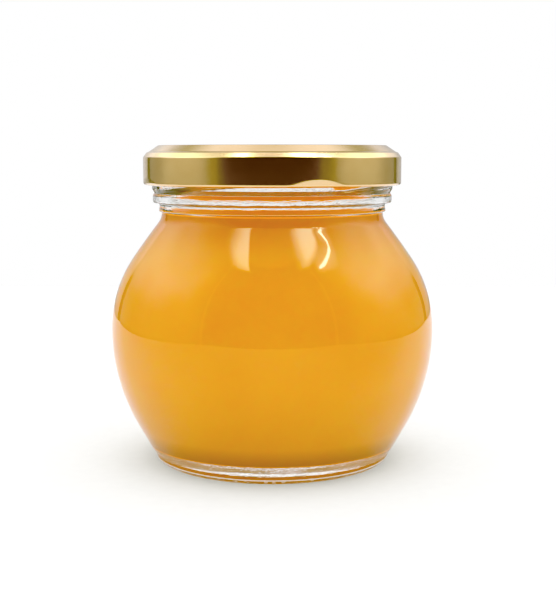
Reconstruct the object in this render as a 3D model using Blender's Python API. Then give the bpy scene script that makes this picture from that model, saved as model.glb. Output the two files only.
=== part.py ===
"""A round-bellied glass jar of ghee with a gold twist-off lid.

Metres, +Z up. The jar stands on z = 0 with its axis on Z, and the side it is seen from faces -Y.
"""

import math

import bmesh
import bpy

MM = 0.001
SIDES = 48  # facets round each turned piece

# Outside of the glass. Every arc below the neck meets its neighbours smoothly.
BELLY_RADIUS = 45.9 * MM
BELLY_HEIGHT = 37.6 * MM
SHOULDER_CURVE = 36.4 * MM  # radius of the arc over the belly's widest line
SHOULDER_SLOPE = math.radians(34.4)  # lean of the glass from upright where that arc ends
NECK_SLOPE = math.radians(37.6)  # the same where the neck's fillet starts
LOWER_CURVE = 55.0 * MM  # radius of the arc under the widest line
LOWER_SLOPE = math.radians(29.4)  # the straight lower side's lean from upright
NECK_RADIUS = 31.4 * MM
NECK_FILLET = 5.0 * MM
FOOT_HEIGHT = 4.0 * MM  # where the side meets the steeper foot
HEEL_RADIUS = 2.6 * MM
FOOT_RADIUS = 33.9 * MM
BEARING_INNER_RADIUS = 29.6 * MM  # the flat ring that the jar stands on starts here
PUSH_UP_RADIUS = 27.0 * MM
PUSH_UP_EDGE = 2.0 * MM
PUSH_UP_HEIGHT = 2.6 * MM

# Inside of the glass.
WALL = 2.2 * MM
FLOOR_HEIGHT = 5.6 * MM
FLOOR_FILLET = 1.4 * MM
FLOOR_RISE = 0.6 * MM  # of the middle of the floor, over the push-up

# The neck's finish, which the lid screws on to.
STEP_BOTTOM = 71.3 * MM
STEP_BOTTOM_RADIUS = 32.2 * MM
STEP_MIDDLE = 72.6 * MM
STEP_MIDDLE_RADIUS = 32.0 * MM
STEP_TOP = 73.5 * MM
STEP_TOP_RADIUS = 32.06 * MM
BEAD_HEIGHT = 75.0 * MM  # of its widest line
BEAD_RADIUS = 33.9 * MM
BEAD_CURVE = 6.2 * MM
BEAD_UPPER_SLOPE = math.radians(4)
BEAD_LOWER_SLOPE = math.radians(8)
BEAD_UPPER_FILLET = 1.2 * MM
BEAD_CORNER_RADIUS = 33.75 * MM
BEAD_CORNER_HEIGHT = 73.75 * MM
BEAD_FILLET = 0.4 * MM
NOTCH_HEIGHT = 76.4 * MM
NOTCH_RADIUS = 33.4 * MM
FINISH_BOTTOM = 77.6 * MM
FINISH_TOP = 85.6 * MM
FINISH_RADIUS = 34.1 * MM
LIP_RADIUS = 33.0 * MM
LIP_FILLET = 1.0 * MM
RIM_HEIGHT = 87.7 * MM

THREADS = 4
THREAD_START = math.radians(-64)  # low end of the first thread, from -Y towards +X
THREAD_SWEEP = math.radians(78)
THREAD_BOTTOM = 77.5 * MM  # centre line at the low end
THREAD_RISE = 3.9 * MM
THREAD_HALF_WIDTH = 1.2 * MM
THREAD_DEPTH = 0.8 * MM
THREAD_FADE = math.radians(9)

# The lid, a pressed metal shell with a raised ring round its top.
LID_RADIUS = 36.5 * MM
LID_BOTTOM = 78.65 * MM
LID_TOP = 89.7 * MM
LID_SHELL = 0.8 * MM
PANEL_RADIUS = 29.0 * MM
PANEL_RECESS = 0.8 * MM
RING_INNER_RADIUS = 30.4 * MM
RING_OUTER_RADIUS = 32.2 * MM
VALLEY_RADIUS = 34.75 * MM  # the shallow hollow between the ring and the shoulder
VALLEY_DROP = 1.72 * MM
SHOULDER_RADIUS = 35.57 * MM  # upper edge of the sloped shoulder
SHOULDER_DROP = 2.08 * MM
SKIRT_DROP = 3.35 * MM  # from the ring down to the line where the skirt would start
SKIRT_FILLET = 0.8 * MM
CURL_RADIUS = 0.6 * MM
CURL_WIDTH = 1.3 * MM
CURL_HEIGHT = 1.8 * MM

LUGS = 4
LUG_START = math.radians(19)  # middle of one lug, from -Y towards +X
LUG_HALF_WIDTH = math.radians(14)
LUG_HEIGHT = 2.1 * MM
LUG_DEPTH = 0.45 * MM

GAP = 0.3 * MM  # between pieces that touch


def clear_scene():
    """Removes the objects that a new file starts with."""
    for obj in list(bpy.data.objects):
        bpy.data.objects.remove(obj)


def painted(name, colour, roughness, metallic=0.0, transmission=0.0):
    """A plain Principled material."""
    material = bpy.data.materials.new(name)
    material.use_nodes = True
    shader = material.node_tree.nodes["Principled BSDF"]
    shader.inputs["Base Color"].default_value = (*colour, 1.0)
    shader.inputs["Roughness"].default_value = roughness
    shader.inputs["Metallic"].default_value = metallic
    shader.inputs["Transmission Weight"].default_value = transmission
    return material


def arc(centre, radius, start, end, steps):
    """Points on a circle in the (radius, height) plane. Angles run from +radius towards +height."""
    points = []
    for step in range(steps + 1):
        angle = start + (end - start) * step / steps
        points.append((centre[0] + radius * math.cos(angle), centre[1] + radius * math.sin(angle)))
    return points


def rounded(corners, steps=3):
    """A path through (radius, height, fillet) corners, with each corner that has a fillet rounded."""
    path = [corners[0][:2]]
    for before, corner, after in zip(corners, corners[1:], corners[2:]):
        if corner[2] == 0:
            path.append(corner[:2])
            continue
        towards_before = math.atan2(before[1] - corner[1], before[0] - corner[0])
        towards_after = math.atan2(after[1] - corner[1], after[0] - corner[0])
        opening = (towards_after - towards_before + math.pi) % (2 * math.pi) - math.pi
        middle = towards_before + opening / 2
        reach = corner[2] / math.sin(abs(opening) / 2)
        centre = (corner[0] + reach * math.cos(middle), corner[1] + reach * math.sin(middle))
        turn = math.copysign(math.pi - abs(opening), opening)
        start = middle + math.pi + turn / 2
        path += arc(centre, corner[2], start, start - turn, steps)
    path.append(corners[-1][:2])
    return path


def side(inset, foot_height):
    """The glass's side from the neck down to foot_height, that far inside its outer face."""
    upper_centre = (BELLY_RADIUS - SHOULDER_CURVE, BELLY_HEIGHT)
    lower_centre = (BELLY_RADIUS - LOWER_CURVE, BELLY_HEIGHT)
    shoulder_end = (
        upper_centre[0] + SHOULDER_CURVE * math.cos(SHOULDER_SLOPE),
        upper_centre[1] + SHOULDER_CURVE * math.sin(SHOULDER_SLOPE),
    )
    # One wide arc joins the shoulder to the neck's fillet.
    fillet_end_radius = NECK_RADIUS + NECK_FILLET * (1 - math.cos(NECK_SLOPE))
    wide_curve = (shoulder_end[0] - fillet_end_radius) / (
        math.cos(SHOULDER_SLOPE) - math.cos(NECK_SLOPE)
    )
    fillet_end_height = shoulder_end[1] + wide_curve * (
        math.sin(NECK_SLOPE) - math.sin(SHOULDER_SLOPE)
    )
    fillet_centre = (
        NECK_RADIUS + NECK_FILLET,
        fillet_end_height + NECK_FILLET * math.sin(NECK_SLOPE),
    )
    neck = arc(fillet_centre, NECK_FILLET + inset, math.pi, math.pi + NECK_SLOPE, 4)
    shoulder = arc(upper_centre, SHOULDER_CURVE - inset, SHOULDER_SLOPE, 0, 6)
    lower = arc(lower_centre, LOWER_CURVE - inset, 0, -LOWER_SLOPE, 5)
    foot_radius = lower[-1][0] - (lower[-1][1] - foot_height) * math.tan(LOWER_SLOPE)
    return neck + shoulder + lower[1:] + [(foot_radius, foot_height)]


def inside(inset, floor_height):
    """The inside of the glass from the neck down to the middle of its floor, or a face inset from it."""
    wall = side(inset, floor_height)
    fillet = FLOOR_FILLET - (inset - WALL)
    corner = (*wall[-1], fillet)
    floor_edge = (0.5 * wall[-1][0], floor_height)
    middle = (0, floor_height + FLOOR_RISE)
    turned_in = rounded([(*wall[-2], 0), corner, (*floor_edge, 0)], 4)
    return wall[:-2] + turned_in + [middle]


def jar_profile():
    """The glass in section, from the middle of its floor, over the rim and down to the middle of its base."""
    bore = NECK_RADIUS - WALL
    inner = inside(WALL, FLOOR_HEIGHT)[::-1]
    finish_rows = 14
    finish = [
        (FINISH_RADIUS, FINISH_TOP + (FINISH_BOTTOM - FINISH_TOP) * row / finish_rows)
        for row in range(finish_rows + 1)
    ]
    lip = rounded(
        [
            (*inner[-1], 0),
            (bore, RIM_HEIGHT, LIP_FILLET),
            (LIP_RADIUS, RIM_HEIGHT, LIP_FILLET),
            (LIP_RADIUS, FINISH_TOP + LIP_FILLET, 0),
        ]
    )
    face = arc(
        (BEAD_RADIUS - BEAD_CURVE, BEAD_HEIGHT),
        BEAD_CURVE,
        BEAD_UPPER_SLOPE,
        -BEAD_LOWER_SLOPE,
        1,
    )
    upper_centre = (
        face[0][0] - BEAD_UPPER_FILLET * math.cos(BEAD_UPPER_SLOPE),
        face[0][1] - BEAD_UPPER_FILLET * math.sin(BEAD_UPPER_SLOPE),
    )
    bead = arc(upper_centre, BEAD_UPPER_FILLET, math.radians(50), BEAD_UPPER_SLOPE, 2) + face[1:]
    bead_foot = rounded(
        [
            (*bead[-1], 0),
            (BEAD_CORNER_RADIUS, BEAD_CORNER_HEIGHT, BEAD_FILLET),
            (STEP_TOP_RADIUS, STEP_TOP, 0),
        ],
        2,
    )
    neck = [
        (NOTCH_RADIUS, NOTCH_HEIGHT),
        *bead,
        *bead_foot[1:],
        (STEP_MIDDLE_RADIUS, STEP_MIDDLE),
        (STEP_BOTTOM_RADIUS, STEP_BOTTOM),
    ]
    foot = side(0, FOOT_HEIGHT) + arc(
        (FOOT_RADIUS - HEEL_RADIUS, HEEL_RADIUS), HEEL_RADIUS, 0, -math.pi / 2, 5
    )
    base = [
        (BEARING_INNER_RADIUS, 0),
        (PUSH_UP_RADIUS, PUSH_UP_EDGE),
        (0.5 * PUSH_UP_RADIUS, 0.5 * (PUSH_UP_EDGE + PUSH_UP_HEIGHT)),
        (0, PUSH_UP_HEIGHT),
    ]
    return inner + lip[1:] + finish + neck + foot + base


def lid_profile():
    """The lid in section, from the middle of its top, down its skirt and back under its panel."""
    panel = LID_TOP - PANEL_RECESS
    skirt = LID_TOP - SKIRT_DROP
    inner_skirt = LID_RADIUS - LID_SHELL
    return rounded(
        [
            (0, panel, 0),
            (PANEL_RADIUS, panel, 0.6 * MM),
            (RING_INNER_RADIUS, LID_TOP, 0.6 * MM),
            (RING_OUTER_RADIUS, LID_TOP, 0.8 * MM),
            (VALLEY_RADIUS, LID_TOP - VALLEY_DROP, 0),
            (SHOULDER_RADIUS, LID_TOP - SHOULDER_DROP, 0),
            (LID_RADIUS, skirt, SKIRT_FILLET),
            (LID_RADIUS, LID_BOTTOM + LUG_HEIGHT, 0),
            (LID_RADIUS, LID_BOTTOM + 0.7 * LUG_HEIGHT, 0),
            (LID_RADIUS, LID_BOTTOM, CURL_RADIUS),
            (LID_RADIUS - CURL_WIDTH, LID_BOTTOM, 0.3 * MM),
            (LID_RADIUS - CURL_WIDTH, LID_BOTTOM + CURL_HEIGHT, 0),
            (inner_skirt, LID_BOTTOM + CURL_HEIGHT + 0.5 * MM, 0),
            (inner_skirt, skirt - 0.3 * MM, 0),
            (VALLEY_RADIUS - 0.15 * MM, LID_TOP - VALLEY_DROP - LID_SHELL, 0),
            (RING_OUTER_RADIUS, LID_TOP - LID_SHELL, 0),
            (RING_INNER_RADIUS, LID_TOP - LID_SHELL, 0),
            (PANEL_RADIUS, panel - LID_SHELL, 0),
            (0, panel - LID_SHELL, 0),
        ]
    )


def ghee_profile():
    """The ghee in section, from the middle of its top, level with the foot of the neck, down to its underside."""
    wall = inside(WALL + GAP, FLOOR_HEIGHT + GAP)
    return [(0, wall[0][1])] + wall


def from_nearest(angle, start, count):
    """How far round an angle is from the nearest of count evenly spaced marks, in radians."""
    pitch = 2 * math.pi / count
    return (angle - start + pitch / 2) % pitch - pitch / 2


def raise_threads(radius, height, angle):
    """The glass's radius with the threads standing on it."""
    if radius < FINISH_RADIUS - 0.1 * MM or height < NOTCH_HEIGHT:
        return radius
    pitch = 2 * math.pi / THREADS
    along = (angle - THREAD_START) % pitch
    if along > THREAD_SWEEP:
        return radius
    ends = min(1, along / THREAD_FADE, (THREAD_SWEEP - along) / THREAD_FADE)
    centre = THREAD_BOTTOM + THREAD_RISE * along / THREAD_SWEEP
    across = (height - centre) / THREAD_HALF_WIDTH
    if abs(across) > 1:
        return radius
    return radius + THREAD_DEPTH * ends * math.cos(across * math.pi / 2)


def press_lugs(radius, height, angle):
    """The lid's radius with the lugs pressed in at the foot of its skirt, each a facet that leans in downwards."""
    across = from_nearest(angle, LUG_START, LUGS) / LUG_HALF_WIDTH
    top = LID_BOTTOM + LUG_HEIGHT * (1 - across * across)
    if abs(across) >= 1 or height > top or radius < LID_RADIUS - CURL_RADIUS:
        return radius
    return radius - LUG_DEPTH * (top - height) / LUG_HEIGHT


def turned(name, profile, material, shape=None):
    """A solid turned about +Z from a section that starts and ends on the axis. shape moves points in or out."""
    bm = bmesh.new()
    points = [bm.verts.new((radius, 0, height)) for radius, height in profile]
    edges = [bm.edges.new(pair) for pair in zip(points, points[1:])]
    bmesh.ops.spin(
        bm,
        geom=points + edges,
        axis=(0, 0, 1),
        cent=(0, 0, 0),
        angle=2 * math.pi,
        steps=SIDES,
        use_merge=True,
    )
    bmesh.ops.remove_doubles(bm, verts=bm.verts, dist=0.001 * MM)
    if shape:
        for point in bm.verts:
            radius = math.hypot(point.co.x, point.co.y)
            angle = math.atan2(point.co.x, -point.co.y)
            if radius > 0:
                point.co.xy *= shape(radius, point.co.z, angle) / radius
    bmesh.ops.recalc_face_normals(bm, faces=bm.faces)
    mesh = bpy.data.meshes.new(name)
    bm.to_mesh(mesh)
    bm.free()
    mesh.shade_smooth()
    mesh.set_sharp_from_angle(angle=math.radians(40))
    mesh.materials.append(material)
    obj = bpy.data.objects.new(name, mesh)
    bpy.context.scene.collection.objects.link(obj)
    return obj


clear_scene()
turned(
    "glass_jar",
    jar_profile(),
    painted("clear_glass", (0.95, 0.97, 0.96), 0.02, transmission=1.0),
    raise_threads,
)
turned("ghee", ghee_profile(), painted("ghee", (0.85, 0.42, 0.04), 0.35))
turned(
    "lid",
    lid_profile(),
    painted("gold_lacquer", (0.72, 0.53, 0.25), 0.3, metallic=1.0),
    press_lugs,
)
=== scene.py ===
"""A round-bellied glass jar of golden ghee, shut with a gold twist-off lid.

Metres, +Z up. The jar stands on z = 0 with its axis on Z, and its front faces -Y.
"""

import math

import bpy
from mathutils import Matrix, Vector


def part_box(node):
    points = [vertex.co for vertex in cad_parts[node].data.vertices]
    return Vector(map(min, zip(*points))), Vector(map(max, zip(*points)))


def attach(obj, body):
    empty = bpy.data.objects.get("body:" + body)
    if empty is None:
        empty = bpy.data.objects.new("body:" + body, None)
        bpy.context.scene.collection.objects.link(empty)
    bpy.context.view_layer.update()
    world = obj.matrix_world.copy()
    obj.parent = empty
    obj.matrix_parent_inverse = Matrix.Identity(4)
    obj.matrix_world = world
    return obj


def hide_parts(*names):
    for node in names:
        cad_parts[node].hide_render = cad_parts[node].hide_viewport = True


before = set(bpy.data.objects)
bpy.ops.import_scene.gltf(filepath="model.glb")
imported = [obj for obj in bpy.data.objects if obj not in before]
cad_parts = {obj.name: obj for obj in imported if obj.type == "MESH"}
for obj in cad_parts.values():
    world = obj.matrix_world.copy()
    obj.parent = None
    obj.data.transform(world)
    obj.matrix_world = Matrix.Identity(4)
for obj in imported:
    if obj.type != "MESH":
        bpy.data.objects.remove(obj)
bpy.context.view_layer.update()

# The glass jar: clear soda-lime glass, blown in a mould as one piece. The belly is round, the base
# is thicker than the wall, and the neck carries a plain bead and four short threads for the lid.
# A ring of small nubs round the base is what it stands on.
MM = 0.001
glass_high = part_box("glass_jar")[1]
belly_radius = glass_high[0]
rim_height = glass_high[2]
belly_height = 37.6 * MM
shoulder_curve = 36.4 * MM
shoulder_slope = math.radians(34.4)
neck_slope = math.radians(37.6)
lower_curve = 55.0 * MM
lower_slope = math.radians(29.4)
neck_radius = 31.4 * MM
neck_fillet = 5.0 * MM
foot_height = 4.0 * MM
wall_thickness = 2.2 * MM
floor_height = 5.6 * MM
floor_rise = 0.6 * MM
floor_fillet = 1.4 * MM
heel_radius = 2.6 * MM
heel_reach = 33.9 * MM
bearing_inner = 29.6 * MM
bearing_fillet = 0.4 * MM
push_up_reach = 27.0 * MM
push_up_edge = 2.0 * MM
push_up_height = 2.6 * MM
push_up_fillet = 1.0 * MM
step_bottom = 71.3 * MM
step_bottom_reach = 32.2 * MM
step_bottom_fillet = 0.25 * MM
step_middle = 72.6 * MM
step_middle_reach = 32.0 * MM
step_middle_fillet = 3.0 * MM
step_top = 73.5 * MM
step_top_reach = 32.06 * MM
step_top_fillet = 0.3 * MM
bead_height = 75.0 * MM
bead_reach = 33.9 * MM
bead_curve = 6.2 * MM
bead_upper_slope = math.radians(4)
bead_lower_slope = math.radians(8)
bead_upper_fillet = 1.2 * MM
bead_corner_reach = 33.75 * MM
bead_corner_height = 73.75 * MM
bead_fillet = 0.4 * MM
notch_height = 76.4 * MM
notch_reach = 33.4 * MM
notch_fillet = 0.2 * MM
finish_bottom = 77.6 * MM
finish_top = 85.6 * MM
finish_reach = 34.1 * MM
finish_fillet = 0.3 * MM
lip_reach = 33.0 * MM
lip_fillet = 1.0 * MM
thread_count = 4
thread_start = math.radians(-64)
thread_sweep = math.radians(78)
thread_bottom = 77.5 * MM
thread_rise = 3.9 * MM
thread_half_width = 1.2 * MM
thread_depth = 0.8 * MM
thread_fade = math.radians(9)
nub_count = 56
nub_height = 0.25 * MM
nub_half_width = 0.3
glass_rounds = 336


def arc(centre, radius, start, end, steps):
    """Points on a circle in the (radius, height) plane, with angles from outwards to upwards."""
    points = []
    for step in range(steps + 1):
        angle = start + (end - start) * step / steps
        points.append((centre[0] + radius * math.cos(angle), centre[1] + radius * math.sin(angle)))
    return points


def rounded(corners, steps=6):
    """A path through (radius, height, fillet) corners, each rounded by its fillet."""
    path = [corners[0][:2]]
    for before, corner, after in zip(corners, corners[1:], corners[2:]):
        if corner[2] == 0:
            path.append(corner[:2])
            continue
        towards_before = math.atan2(before[1] - corner[1], before[0] - corner[0])
        towards_after = math.atan2(after[1] - corner[1], after[0] - corner[0])
        opening = (towards_after - towards_before + math.pi) % (2 * math.pi) - math.pi
        middle = towards_before + opening / 2
        reach = corner[2] / math.sin(abs(opening) / 2)
        centre = (corner[0] + reach * math.cos(middle), corner[1] + reach * math.sin(middle))
        turn = math.copysign(math.pi - abs(opening), opening)
        start = middle + math.pi + turn / 2
        path += arc(centre, corner[2], start, start - turn, steps)
    path.append(corners[-1][:2])
    return path


def along(start, end, steps):
    """Evenly spaced points from start up to, but without, end."""
    return [
        tuple(a + (b - a) * step / steps for a, b in zip(start, end))
        for step in range(steps)
    ]


def glass_side(inset, lowest):
    """The jar's side from the foot of the neck down to lowest, that far inside its outer face."""
    upper_centre = (belly_radius - shoulder_curve, belly_height)
    lower_centre = (belly_radius - lower_curve, belly_height)
    shoulder = arc(upper_centre, shoulder_curve - inset, shoulder_slope, 0, 24)
    wide_drop = upper_centre[0] + shoulder_curve * math.cos(shoulder_slope)
    wide_drop -= neck_radius + neck_fillet * (1 - math.cos(neck_slope))
    wide_curve = wide_drop / (math.cos(shoulder_slope) - math.cos(neck_slope))
    wide_centre = [upper_centre[k] + (shoulder_curve - wide_curve) * turn(shoulder_slope)
                   for k, turn in enumerate((math.cos, math.sin))]
    wide = arc(wide_centre, wide_curve - inset, neck_slope, shoulder_slope, 12)
    fillet_centre = [wide_centre[k] + (wide_curve + neck_fillet) * turn(neck_slope)
                     for k, turn in enumerate((math.cos, math.sin))]
    neck = arc(fillet_centre, neck_fillet + inset, math.pi, math.pi + neck_slope, 12)
    lower = arc(lower_centre, lower_curve - inset, 0, -lower_slope, 20)
    foot_reach = lower[-1][0] - (lower[-1][1] - lowest) * math.tan(lower_slope)
    side = neck[:-1] + wide[:-1] + shoulder + lower[1:-1]
    return side + along(lower[-1], (foot_reach, lowest), 4) + [(foot_reach, lowest)]


def glass_inside(inset, floor):
    """The inside of the glass from the foot of the neck to the middle of its floor."""
    wall = glass_side(inset, floor)
    corner = (*wall[-1], floor_fillet - (inset - wall_thickness))
    turned_in = rounded([(*wall[-2], 0), corner, (0.5 * wall[-1][0], floor, 0)], 10)
    return wall[:-2] + turned_in + [(0, floor + floor_rise)]


def raise_thread(radius, height, angle):
    """Moves a point of the finish out on to the thread that crosses it."""
    turn = (angle - thread_start) % (2 * math.pi / thread_count)
    if turn > thread_sweep:
        return radius
    fade = min(1, turn / thread_fade, (thread_sweep - turn) / thread_fade)
    middle = thread_bottom + thread_rise * turn / thread_sweep
    across = min(1, abs(height - middle) / thread_half_width)
    return radius + thread_depth * math.sin(fade * math.pi / 2) * math.cos(across * math.pi / 2)


def shape_glass(radius, height, angle):
    """The threads on the finish, and the nubs that carry the base."""
    if radius > finish_reach - 0.1 * MM and height > notch_height:
        return raise_thread(radius, height, angle), height
    if height < nub_height and radius > bearing_inner - 0.1 * MM:
        off_nub = (angle * nub_count / (2 * math.pi) + 0.5) % 1 - 0.5
        nub = max(0, 1 - (off_nub / nub_half_width) ** 2)
        return radius, height + (nub_height - height) * (1 - nub)
    return radius, height


def turned(name, profile, rounds, shape=None):
    """A piece turned about +Z from (radius, height) points, which start and end on the axis."""
    inner = profile[1:-1]
    points = []
    for turn in range(rounds):
        angle = 2 * math.pi * turn / rounds
        for radius, height in inner:
            if shape:
                radius, height = shape(radius, height, angle)
            points.append((radius * math.sin(angle), -radius * math.cos(angle), height))
    points += [(0, 0, profile[0][1]), (0, 0, profile[-1][1])]
    first, last = len(points) - 2, len(points) - 1
    rows = len(inner)
    faces = []
    for turn in range(rounds):
        here = turn * rows
        there = (turn + 1) % rounds * rows
        faces.append((first, here, there))
        for row in range(rows - 1):
            faces.append((here + row, here + row + 1, there + row + 1, there + row))
        faces.append((last, there + rows - 1, here + rows - 1))
    mesh = bpy.data.meshes.new(name)
    mesh.from_pydata(points, [], faces)
    mesh.shade_smooth()
    mesh.set_sharp_from_angle(angle=math.radians(50))
    piece = bpy.data.objects.new(name, mesh)
    bpy.context.scene.collection.objects.link(piece)
    return piece


inside = glass_inside(wall_thickness, floor_height)[::-1]
bore = neck_radius - wall_thickness
lip = rounded([
    (*inside[-1], 0),
    (bore, rim_height, lip_fillet),
    (lip_reach, rim_height, lip_fillet),
    (lip_reach, finish_top + lip_fillet, 0),
    (finish_reach, finish_top, 0),
])
finish = along((finish_reach, finish_top), (finish_reach, finish_bottom), 36)
bead = arc((bead_reach - bead_curve, bead_height), bead_curve, bead_upper_slope, -bead_lower_slope, 8)
bead_shoulder = (
    bead[0][0] - bead_upper_fillet * math.cos(bead_upper_slope),
    bead[0][1] - bead_upper_fillet * math.sin(bead_upper_slope),
)
bead = arc(bead_shoulder, bead_upper_fillet, math.radians(50), bead_upper_slope, 8)[:-1] + bead
neck = rounded([
    (finish_reach, finish_bottom + 0.1 * MM, 0),
    (finish_reach, finish_bottom, finish_fillet),
    (notch_reach, notch_height, notch_fillet),
    (*bead[0], 0),
]) + bead[1:-1] + rounded([
    (*bead[-1], 0),
    (bead_corner_reach, bead_corner_height, bead_fillet),
    (step_top_reach, step_top, step_top_fillet),
    (step_middle_reach, step_middle, step_middle_fillet),
    (step_bottom_reach, step_bottom, step_bottom_fillet),
    (neck_radius, step_bottom - 0.3 * MM, 0),
])[:-1]
foot = arc((heel_reach - heel_radius, heel_radius), heel_radius, 0, -math.pi / 2, 14)
base = rounded([
    (*foot[-1], 0),
    (bearing_inner, 0, bearing_fillet),
    (push_up_reach, push_up_edge, push_up_fillet),
    (0.5 * push_up_reach, 0.5 * (push_up_edge + push_up_height), 0),
    (0, push_up_height, 0),
])
jar_profile = inside + lip[1:-1] + finish + neck[1:] + glass_side(0, foot_height) + foot + base[1:]
glass_jar = turned("glass_jar_fine", jar_profile, glass_rounds, shape_glass)


def new_material(name):
    """An empty material, as (material, its node tree)."""
    material = bpy.data.materials.new(name)
    material.use_nodes = True
    material.node_tree.nodes.clear()
    return material, material.node_tree


def node(kind, inputs=None, **settings):
    """A new node in the tree being made. An input is a plain value, or the output that feeds it."""
    made = tree.nodes.new("ShaderNode" + kind)
    for name, value in settings.items():
        setattr(made, name, value)
    for socket, value in (inputs or {}).items():
        if isinstance(value, bpy.types.NodeSocket):
            tree.links.new(value, made.inputs[socket])
        else:
            made.inputs[socket].default_value = value
    return made


def maths(operation, first, second=0.0):
    """One step of arithmetic."""
    return node("Math", {0: first, 1: second}, operation=operation).outputs[0]


def fade(value, start, end, strength=1.0):
    """0 where the value is at start, rising evenly to strength where it is at end."""
    return node("MapRange", {
        "Value": value, "From Min": start, "From Max": end, "To Max": strength,
    }).outputs[0]


def noise(place, scale, detail, roughness):
    """Soft random swells from 0 to 1, finer as the scale grows."""
    return node("TexNoise", {
        "Vector": place, "Scale": scale, "Detail": detail, "Roughness": roughness,
    }).outputs["Fac"]


def off_axis(place):
    """How far a point lies from the jar's axis."""
    level = node("VectorMath", {0: place, 1: (1, 1, 0)}, operation="MULTIPLY")
    return node("VectorMath", {0: level.outputs[0]}, operation="LENGTH").outputs["Value"]


def blend(share, first, second):
    """A blend of two shaders, all of the second where the share is 1."""
    return node("MixShader", {0: share, 1: first.outputs[0], 2: second.outputs[0]})


clear_glass, tree = new_material("clear_moulded_glass")
place = node("TexCoord").outputs["Object"]
height = node("SeparateXYZ", {0: place}).outputs["Z"]

# The moulded surface swells softly everywhere, and has flat streaks at the neck and the foot.
swell_depth = 0.02 * MM
streak_depth = 0.06 * MM
foot_streaks = 2.2
flattened = node("Mapping", {"Vector": place, "Scale": (1, 1, 7)}).outputs[0]
streaked = maths("ADD", fade(height, 71 * MM, 73 * MM), fade(height, 6 * MM, 5 * MM, foot_streaks))
swell_bump = node("Bump", {"Height": noise(place, 70, 1, 0.4), "Strength": 1, "Distance": swell_depth})
streak_bump = node("Bump", {
    "Height": maths("MULTIPLY", noise(flattened, 160, 3, 0.6), streaked),
    "Strength": 1, "Distance": streak_depth, "Normal": swell_bump.outputs[0],
})
glass_body = node("BsdfPrincipled", {
    "Base Color": (0.98, 0.99, 0.985, 1), "Roughness": 0.0, "IOR": 1.5, "Transmission Weight": 1,
    "Specular IOR Level": 0.25, "Normal": streak_bump.outputs[0],
})

# A painted highlight: a fine white line round the heel, and white specks below it, stand in for
# the light that comes up through the heel's edge and its nubs.
highlight_line_height = 1.45 * MM
highlight_line_edge = 0.3 * MM
highlight_line_core = 0.12 * MM
highlight_reach = bearing_inner + 1.6 * MM
highlight_speck_strength = 0.55
heel_highlight_strength = 0.9
line = maths(
    "MULTIPLY",
    fade(height, highlight_line_height - highlight_line_edge, highlight_line_height - highlight_line_core),
    fade(height, highlight_line_height + highlight_line_edge, highlight_line_height + highlight_line_core),
)
highlight_speck_grid = node("TexVoronoi", {"Vector": place, "Scale": 520, "Randomness": 0.8})
below_line = fade(height, highlight_line_height, highlight_line_height - 0.1 * MM)
highlight_specks = maths("MULTIPLY", below_line, fade(height, 0.5 * MM, 0.7 * MM))
highlight_specks = maths("MULTIPLY", highlight_specks, fade(highlight_speck_grid.outputs["Distance"], 0.36, 0.28))
highlight_specks = maths("MULTIPLY", highlight_specks, highlight_speck_strength)
on_heel = fade(off_axis(place), highlight_reach, bearing_inner + 1.9 * MM)
heel_highlight = maths("MULTIPLY", maths("MAXIMUM", line, highlight_specks), on_heel)
# The painted highlight is plain matt white, blended into the glass along the line and the specks.
painted_highlight_white = node("BsdfDiffuse", {"Color": (0.9, 0.89, 0.86, 1)})
glass_and_highlight = blend(maths("MULTIPLY", heel_highlight, heel_highlight_strength), glass_body, painted_highlight_white)

# Light that only passes through goes straight on, so the ghee is lit as if the glass were thin air.
ray = node("LightPath").outputs
straight_on = node("BsdfTransparent", {"Color": (0.97, 0.98, 0.975, 1)})
soft_light = blend(ray["Is Diffuse Ray"], glass_and_highlight, straight_on)
direct_light = blend(ray["Is Shadow Ray"], soft_light, straight_on)
node("OutputMaterial", {"Surface": direct_light.outputs[0]})
glass_jar.data.materials.append(clear_glass)
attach(glass_jar, "root")
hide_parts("glass_jar")

# The ghee: clarified butter, poured in warm and set to a smooth, slightly see-through golden solid.
# It fills the jar to the foot of the neck, where it creeps a little up the glass, and it reaches
# just into the wall so that no air shows between them.
ghee_into_wall = 0.05 * MM
ghee_level = 70.7 * MM
creep_height = 0.5 * MM
creep_width = 1.6 * MM
creep_steps = 8
ghee_side = glass_inside(wall_thickness - ghee_into_wall, floor_height - ghee_into_wall)
ghee_reach, ghee_brim = ghee_side[0]
ghee_top = [(0, ghee_level), (0.5 * ghee_reach, ghee_level)]
for step in range(creep_steps + 1):
    nearer = step / creep_steps
    ghee_top.append((
        ghee_reach - creep_width * (1 - nearer),
        ghee_level + (ghee_brim + creep_height - ghee_level) * nearer ** 3,
    ))
ghee = turned("ghee_fill", ghee_top + ghee_side, 192)
golden_ghee, tree = new_material("golden_ghee")
place = node("TexCoord").outputs["Object"]
height = node("SeparateXYZ", {0: place}).outputs["Z"]


def colours(value, stops):
    """The colour for a value, blended between (value, colour) stops from low to high."""
    ramp = node("ValToRGB", {0: value})
    elements = ramp.color_ramp.elements
    first, *middle, last = stops
    elements[0].position, elements[0].color = first
    elements[1].position, elements[1].color = last
    for at, colour in middle:
        elements.new(at).color = colour
    return ramp.outputs["Color"]


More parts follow.
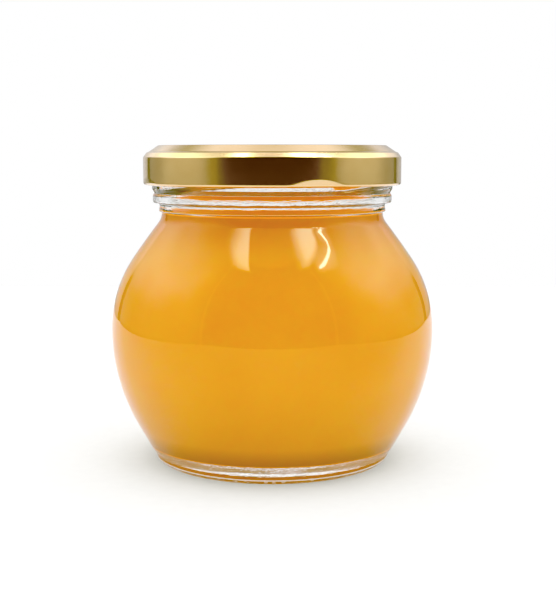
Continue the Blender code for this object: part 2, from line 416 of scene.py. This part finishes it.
# It is faintly clouded. Painted shade goes with height, given here in millimetres: its colour is
# darkened near its foot and made more orange near the neck, where less light gets in.
cloud_colour = colours(noise(place, 45, 4, 0.55), (
    (0.35, (0.83, 0.38, 0.082, 1)),
    (0.65, (0.855, 0.415, 0.097, 1)),
))
painted_shade_low = 5
painted_shade_span = 70
painted_shade_stops = (
    (5, (0.54, 0.45, 0.4, 1)), (11, (0.88, 0.84, 0.82, 1)), (20, (0.95, 0.94, 0.95, 1)),
    (28, (1, 1, 1, 1)), (60, (1, 1, 1, 1)), (69, (1, 0.8, 1, 1)), (75, (1, 0.76, 1, 1)),
)
painted_shade_by_height = colours(
    fade(height, painted_shade_low * MM, (painted_shade_low + painted_shade_span) * MM),
    [((at - painted_shade_low) / painted_shade_span, tone) for at, tone in painted_shade_stops],
)
# The cloud colour times the painted shade by height.
shaded_ghee_colour = node("Mix", {
    0: 1.0, 6: cloud_colour, 7: painted_shade_by_height,
}, data_type="RGBA", blend_type="MULTIPLY").outputs[2]

# A painted glow: the edges of its top and its foot give out a little light of their own, in place
# of light that comes through the ghee.
painted_top_glow = 0.5
painted_foot_glow = 0.4
painted_glow_at_top = fade(height, ghee_level - 0.3 * MM, ghee_level - 0.1 * MM, painted_top_glow)
painted_glow_at_foot = fade(height, floor_height + 0.35 * MM, floor_height + 0.1 * MM, painted_foot_glow)
grain_bump = node("Bump", {"Height": noise(place, 900, 2, 0.6), "Strength": 0.2, "Distance": 0.03 * MM})
ghee_body = node("BsdfPrincipled", {
    "Base Color": shaded_ghee_colour, "Roughness": 0.6, "IOR": 1.46,
    "Specular IOR Level": 0.0, "Subsurface Weight": 1.0, "Subsurface Scale": 0.006,
    "Subsurface Radius": (1.0, 0.5, 0.1), "Normal": grain_bump.outputs[0],
    # The emission is the painted glow at the edges of the top and the foot.
    "Emission Color": (0.8, 0.26, 0.012, 1), "Emission Strength": maths("ADD", painted_glow_at_top, painted_glow_at_foot),
})

# Where it lies against the glass, light that meets it at a shallow slant turns back into the glass.
# Under its floor, but not near the rim, smears dull this mirror.
mirror_share = 0.7
mirror_pale = (0.97, 0.95, 0.9, 1)
slant = node("Fresnel", {"IOR": 1.46 / 1.52}).outputs[0]
against_glass = fade(height, ghee_level, ghee_level - 0.5 * MM)
turned_back = maths("MULTIPLY", maths("MULTIPLY", slant, against_glass), mirror_share)
smear_colour = colours(noise(place, 150, 3, 0.6), (
    (0.42, (0.38, 0.25, 0.12, 1)),
    (0.68, mirror_pale),
))
mirror_colour = node("Mix", {
    0: fade(off_axis(place), 25 * MM, 29 * MM), 6: smear_colour, 7: mirror_pale,
}, data_type="RGBA")
mirror = node("BsdfGlossy", {"Color": mirror_colour.outputs[2], "Roughness": 0.03})
ghee_surface = blend(turned_back, ghee_body, mirror)

# A faint, cool painted glow all over it stands in for light scattered deep in the ghee coming out
# again.
painted_cool_glow = node("Emission", {"Color": (0.48, 0.25, 1, 1), "Strength": 0.028})
ghee_with_painted_glow = node("AddShader", {0: ghee_surface.outputs[0], 1: painted_cool_glow.outputs[0]})

# The white table is lit as if the ghee were paler, so that it stays white beside the jar.
paler = node("BsdfDiffuse", {"Color": (0.85, 0.78, 0.66, 1)})
ghee_shown = blend(node("LightPath").outputs["Is Diffuse Ray"], ghee_with_painted_glow, paler)
node("OutputMaterial", {"Surface": ghee_shown.outputs[0]})
ghee.data.materials.append(golden_ghee)
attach(ghee, "root")
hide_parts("ghee")

# The lid: a twist-off lid pressed from tinplate, with satin gold lacquer. Its top is let in behind
# a raised ring, its lower edge is rolled in, and four lugs pressed in at that edge grip the threads.
lid_low, lid_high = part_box("lid")
lid_reach = lid_high[0]
lid_bottom = lid_low[2]
lid_top = lid_high[2]
lid_shell = 0.4 * MM
panel_reach = 29.0 * MM
panel_recess = 0.8 * MM
panel_fillet = 0.6 * MM
ring_inner = 30.4 * MM
ring_inner_fillet = 0.6 * MM
ring_outer = 32.2 * MM
ring_outer_fillet = 0.8 * MM
valley_reach = 34.75 * MM
valley_drop = 1.72 * MM
valley_fillet = 0.5 * MM
shoulder_reach = 35.57 * MM
shoulder_drop = 2.08 * MM
shoulder_fillet = 0.35 * MM
skirt_drop = 3.35 * MM
skirt_fillet = 0.8 * MM
roll_radius = 0.75 * MM
roll_width = 1.8 * MM
roll_height = 1.8 * MM
roll_fillet = 0.8 * MM
inside_fillet = 0.3 * MM
lug_count = 4
lug_middle = math.radians(19)
lug_half_width = math.radians(14)
lug_height = 2.1 * MM
lug_depth = 0.3 * MM


def press_lugs(radius, height, angle):
    """Pushes in the foot of the skirt where a lug is pressed: a facet that leans in downwards."""
    pitch = 2 * math.pi / lug_count
    across = ((angle - lug_middle + pitch / 2) % pitch - pitch / 2) / lug_half_width
    if abs(across) >= 1 or radius < lid_reach - roll_width:
        return radius, height
    below = lid_bottom + lug_height * (1 - across * across) - height
    return radius - lug_depth * max(0, below) / lug_height, height


panel = lid_top - panel_recess
skirt = lid_top - skirt_drop
skirt_inner = lid_reach - lid_shell
skirt_top = rounded([
    (0, panel, 0),
    (panel_reach, panel, panel_fillet),
    (ring_inner, lid_top, ring_inner_fillet),
    (ring_outer, lid_top, ring_outer_fillet),
    (valley_reach, lid_top - valley_drop, valley_fillet),
    (shoulder_reach, lid_top - shoulder_drop, shoulder_fillet),
    (lid_reach, skirt, skirt_fillet),
    (lid_reach, lid_bottom + 1.2 * lug_height, 0),
], 10)
skirt_foot = rounded([
    (lid_reach, lid_bottom + 1.2 * lug_height, 0),
    (lid_reach, lid_bottom, roll_radius),
    (lid_reach - roll_width, lid_bottom, roll_fillet),
    (lid_reach - roll_width, lid_bottom + roll_height, roll_fillet),
    (skirt_inner, lid_bottom + roll_height, 0.1 * MM),
    (skirt_inner, skirt - 0.15 * MM, skirt_fillet - lid_shell),
    (shoulder_reach - 0.25 * MM, lid_top - shoulder_drop - 0.35 * MM, inside_fillet),
    (valley_reach, lid_top - valley_drop - lid_shell, inside_fillet),
    (ring_outer, lid_top - lid_shell, 0.5 * MM),
    (ring_inner, lid_top - lid_shell, inside_fillet),
    (panel_reach, panel - lid_shell, inside_fillet),
    (0, panel - lid_shell, 0),
], 10)
skirt_rows = along((lid_reach, skirt_foot[0][1]), skirt_foot[1], 16)
lid = turned("lid_fine", skirt_top[:-1] + skirt_rows + skirt_foot[1:], 256, press_lugs)
gold_lacquer, tree = new_material("gold_lacquer")
place = node("TexCoord").outputs["Object"]
fine = noise(place, 2200, 2, 0.6)
lacquer_colour = colours(noise(place, 160, 3, 0.5), (
    (0.3, (0.84, 0.585, 0.33, 1)),
    (0.7, (0.88, 0.63, 0.37, 1)),
))
lacquer_roughness = node("MapRange", {"Value": fine, "To Min": 0.16, "To Max": 0.26})
lacquer_bump = node("Bump", {"Height": fine, "Strength": 0.25, "Distance": 0.02 * MM})
lacquer = node("BsdfPrincipled", {
    "Base Color": lacquer_colour, "Metallic": 1.0,
    "Roughness": lacquer_roughness.outputs[0], "Normal": lacquer_bump.outputs[0],
    "Coat Weight": 0.8, "Coat Roughness": 0.12, "Coat IOR": 1.5,
})
node("OutputMaterial", {"Surface": lacquer.outputs[0]})
lid.data.materials.append(gold_lacquer)
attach(lid, "root")
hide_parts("lid")

# The floor: a matt white table top that the jar only stands on. It is lit until it is as white
# as what is behind it.
table_reach = 0.43
table_mesh = bpy.data.meshes.new("white_table")
table_mesh.from_pydata(
    [(x * table_reach, y * table_reach, 0) for x, y in ((-1, -1), (1, -1), (1, 1), (-1, 1))],
    [],
    [(0, 1, 2, 3)],
)
table = bpy.data.objects.new("white_table", table_mesh)
bpy.context.scene.collection.objects.link(table)
matt_white, tree = new_material("matt_white")
place = node("TexCoord").outputs["Object"]
white = colours(noise(place, 300, 2, 0.5), (
    (0, (0.87, 0.87, 0.87, 1)),
    (1, (0.91, 0.91, 0.91, 1)),
))
paper = node("BsdfPrincipled", {"Base Color": white, "Roughness": 0.9, "Specular IOR Level": 0.1})
node("OutputMaterial", {"Surface": paper.outputs[0]})
table.data.materials.append(matt_white)

# The light: a white tent round the jar, brightest overhead, with a dark opening in front that
# the camera looks through and two soft lamps high on either side of it. Directions on it are in
# degrees: round from the front, with the right side positive, and above the floor.
tent = bpy.data.worlds.new("white_tent")
bpy.context.scene.world = tent
tent.use_nodes = True
tree = tent.node_tree
tree.nodes.clear()
axes = node("SeparateXYZ", {0: node("TexCoord").outputs["Generated"]}).outputs
backwards = maths("MULTIPLY", axes["Y"], -1.0)
around = maths("DEGREES", maths("ARCTAN2", axes["X"], backwards))
above = maths("DEGREES", maths("ARCSINE", axes["Z"]))


def between(angle, low, high, edge):
    """1 between two angles and 0 outside them, with a soft edge that wide."""
    start = node("MapRange", {
        "Value": angle, "From Min": low - edge / 2, "From Max": low + edge / 2,
    }, interpolation_type="SMOOTHSTEP").outputs[0]
    stop = node("MapRange", {
        "Value": angle, "From Min": high + edge / 2, "From Max": high - edge / 2,
    }, interpolation_type="SMOOTHSTEP").outputs[0]
    return maths("MULTIPLY", start, stop)


def patch(around_range, above_range, side_edge, top_edge, strength):
    """A rectangle of light on the tent, with soft edges that wide."""
    upright = between(around, *around_range, side_edge)
    shape = maths("MULTIPLY", upright, between(above, *above_range, top_edge))
    return maths("MULTIPLY", shape, strength)


def bands(stops):
    """Brightness of the tent by height, from (degrees above the floor, brightness) pairs."""
    return colours(fade(above, -90, 90), [
        ((at + 90) / 180, (grey, grey, grey, 1)) for at, grey in stops
    ])


def shaded(light, shade):
    """The light with that share of it taken away."""
    return maths("MULTIPLY", light, maths("SUBTRACT", 1.0, shade))


# What lights the ghee and the table: soft from all round, and strongest from above.
soft_strength = 2.2
soft = bands(((-6, 0.3), (0, 0.35), (20, 0.4), (40, 0.45), (60, 0.6), (75, 1.0)))
soft = maths("MULTIPLY", soft, soft_strength)

# What the glass and the lid mirror. The dark opening in front has blurred sides and a crisp top.
mirrored = bands(((-6, 0.16), (-3, 0.42), (20, 0.44), (38, 0.55), (52, 0.7), (66, 0.9), (75, 1.1)))
opening = maths("MULTIPLY", between(around, -50, 50, 30), between(above, -30, 63, 2))
mirrored = shaded(mirrored, opening)
walls = (
    # The walls beside the opening, and a soft glow low on them.
    ((-110, -60), (-3, 50), 20, 20, 0.3),
    ((60, 110), (-3, 50), 20, 20, 0.32),
    ((-160, -84), (14, 34), 24, 12, 0.5),
    ((84, 160), (14, 34), 24, 12, 0.5),
    # The thin bright edges of the opening.
    ((-51, -49), (-5, 62), 1, 1, 0.4),
    ((44, 46), (-5, 62), 1, 1, 0.4),
    # The wall behind the jar, and the light that falls on it from above.
    ((-190, -144), (-10, 40), 3, 20, 0.25),
    ((143, 190), (-10, 40), 3, 20, 0.12),
    ((-172, -146), (47, 60), 14, 14, 1.2),
    ((146, 172), (47, 60), 14, 14, 1.3),
)
for wall in walls:
    mirrored = maths("ADD", mirrored, patch(*wall))

# The wall behind is dimmer half way up, and its two lower corners are dark.
dim_left = patch((-200, -145), (28, 60), 20, 8, 0.4)
dim_right = patch((145, 200), (28, 60), 20, 8, 0.4)
mirrored = shaded(mirrored, maths("ADD", dim_left, dim_right))
corner_left = patch((-143, -138), (-6, 10), 2, 6, 1.0)
corner_right = patch((137, 142), (-6, 10), 2, 6, 1.0)
mirrored = shaded(mirrored, maths("ADD", corner_left, corner_right))

# The two lamps each have a crisp right side and fade to their left. The left one's crisp side leans.
lean = 1.8
leaning_side = 81.4
leaning_width = 60
left_strength = 6.8
right_strength = 8.0
leaning = maths("ADD", around, maths("MULTIPLY", above, lean))
left_lamp = maths(
    "MULTIPLY",
    between(around, -58, 0, 30),
    between(leaning, leaning_side - leaning_width, leaning_side, 4),
)
left_lamp = maths("MULTIPLY", left_lamp, between(above, 60, 76, 4))
right_lamp = maths("MULTIPLY", between(around, 40, 90, 26), between(around, 0, 66, 5))
right_lamp = maths("MULTIPLY", right_lamp, between(above, 60, 76, 3))
lamps = maths(
    "ADD", maths("MULTIPLY", left_lamp, left_strength), maths("MULTIPLY", right_lamp, right_strength),
)

# A thin bent tube of light beside the right lamp, with a soft halo, through these (round, above)
# bends. Each straight run lights the tent by how far a point lies from it.
tube_strength = 20.0
tube_fall = 0.82
halo_strength = 3.0
halo_fall = 0.14
thinness = 1.6
bends = ((57, 56.5), (71.5, 55.3), (76, 55.2), (77.4, 56.3), (76.4, 58), (73.2, 60.4))
tube = 0.0
halo = 0.0
for (from_around, from_above), (to_around, to_above) in zip(bends, bends[1:]):
    run = to_around - from_around
    rise = to_above - from_above
    off_around = maths("SUBTRACT", around, from_around)
    off_above = maths("SUBTRACT", above, from_above)
    share = maths("ADD", maths("MULTIPLY", off_around, run), maths("MULTIPLY", off_above, rise))
    share = maths("MULTIPLY", share, 1 / (run * run + rise * rise))
    share.node.use_clamp = True
    side_way = maths("SUBTRACT", off_around, maths("MULTIPLY", share, run))
    up_way = maths("SUBTRACT", off_above, maths("MULTIPLY", share, rise))
    up_way = maths("MULTIPLY", up_way, thinness)
    squares = maths("ADD", maths("MULTIPLY", side_way, side_way), maths("MULTIPLY", up_way, up_way))
    apart = maths("POWER", squares, 0.5)
    tube = maths("MAXIMUM", tube, maths("SUBTRACT", 1.0, maths("MULTIPLY", apart, tube_fall)))
    halo = maths("MAXIMUM", halo, maths("SUBTRACT", 1.0, maths("MULTIPLY", apart, halo_fall)))
lamps = maths("ADD", lamps, maths("MULTIPLY", tube, tube_strength))
lamps = maths("ADD", lamps, maths("MULTIPLY", halo, halo_strength))

# Two wide, weak lamps half way up light the sides of the shoulder.
lamps = maths("ADD", lamps, patch((-142, -64), (26, 54), 22, 20, 1.05))
lamps = maths("ADD", lamps, patch((72, 142), (26, 53), 20, 16, 1.1))

# What is seen through the clear neck and foot: white, and a little darker through the opening.
opening_shade = 0.35
through = bands(((-6, 0.8), (0, 0.98), (20, 1.05), (45, 1.0), (75, 1.1)))
through = shaded(through, maths("MULTIPLY", opening, opening_shade))

# The lamps and the warm glow from the room behind the opening show only where the outer surface
# mirrors them, not through the glass. The lamps are faintly green, to make up for the orange ghee
# under their reflections.
ray = node("LightPath").outputs
outer_mirror = maths("SUBTRACT", ray["Is Glossy Ray"], ray["Transmission Depth"])
outer_mirror.node.use_clamp = True
ghee_and_table = node("Mix", {"Factor": ray["Is Transmission Ray"], "A": soft, "B": through}).outputs[0]
lit = node("Mix", {"Factor": outer_mirror, "A": ghee_and_table, "B": mirrored}).outputs[0]
tent_glow = node("Background", {"Color": (1, 1, 1, 1), "Strength": lit})
room_strength = 0.055
room_glow = node("Background", {
    "Color": (1, 0.28, 0.02, 1),
    "Strength": maths("MULTIPLY", maths("MULTIPLY", opening, outer_mirror), room_strength),
})
tent_and_room = node("AddShader", {0: tent_glow.outputs[0], 1: room_glow.outputs[0]})
lamp_glow = node("Background", {
    "Color": (0.78, 1, 0.66, 1), "Strength": maths("MULTIPLY", lamps, outer_mirror),
})
all_light = node("AddShader", {0: tent_and_room.outputs[0], 1: lamp_glow.outputs[0]})
backdrop = node("Background", {"Color": (1, 1, 1, 1), "Strength": 1.0})
seen = blend(ray["Is Camera Ray"], all_light, backdrop)
node("OutputWorld", {"Surface": seen.outputs[0]})

# The camera: on the tent's open side, level with the lid, a third of a metre off and tipped a
# little down.
camera_distance = 0.335
camera_height = 0.0876
camera_tip = 83.05
camera_turn = -0.279
camera_data = bpy.data.cameras.new("camera")
camera_data.lens = 71.34
camera_data.sensor_width = 36
camera_data.clip_start = 0.01
camera = bpy.data.objects.new("camera", camera_data)
camera.location = (0, -camera_distance, camera_height)
camera.rotation_euler = (math.radians(camera_tip), 0, math.radians(camera_turn))
bpy.context.scene.collection.objects.link(camera)
bpy.context.scene.camera = camera

# The picture has a photograph's contrast: its darkest tones are pressed down a little, and its
# blue is held almost flat through the ghee's yellow tones.
picture = bpy.context.scene.view_settings
picture.view_transform = "Standard"
picture.use_curve_mapping = True
contrast = picture.curve_mapping.curves[3]
for shade, printed in ((0.04, 0.015), (0.15, 0.12), (0.4, 0.385)):
    contrast.points.new(shade, printed)
blue = picture.curve_mapping.curves[2]
for shade, printed in (
    (0.022, 0.006), (0.045, 0.034), (0.06, 0.0365), (0.125, 0.0378), (0.14, 0.043), (0.155, 0.066),
    (0.175, 0.103), (0.2, 0.13), (0.25, 0.172), (0.3, 0.25), (0.36, 0.325), (0.45, 0.44),
):
    blue.points.new(shade, printed).handle_type = "VECTOR"
picture.curve_mapping.update()
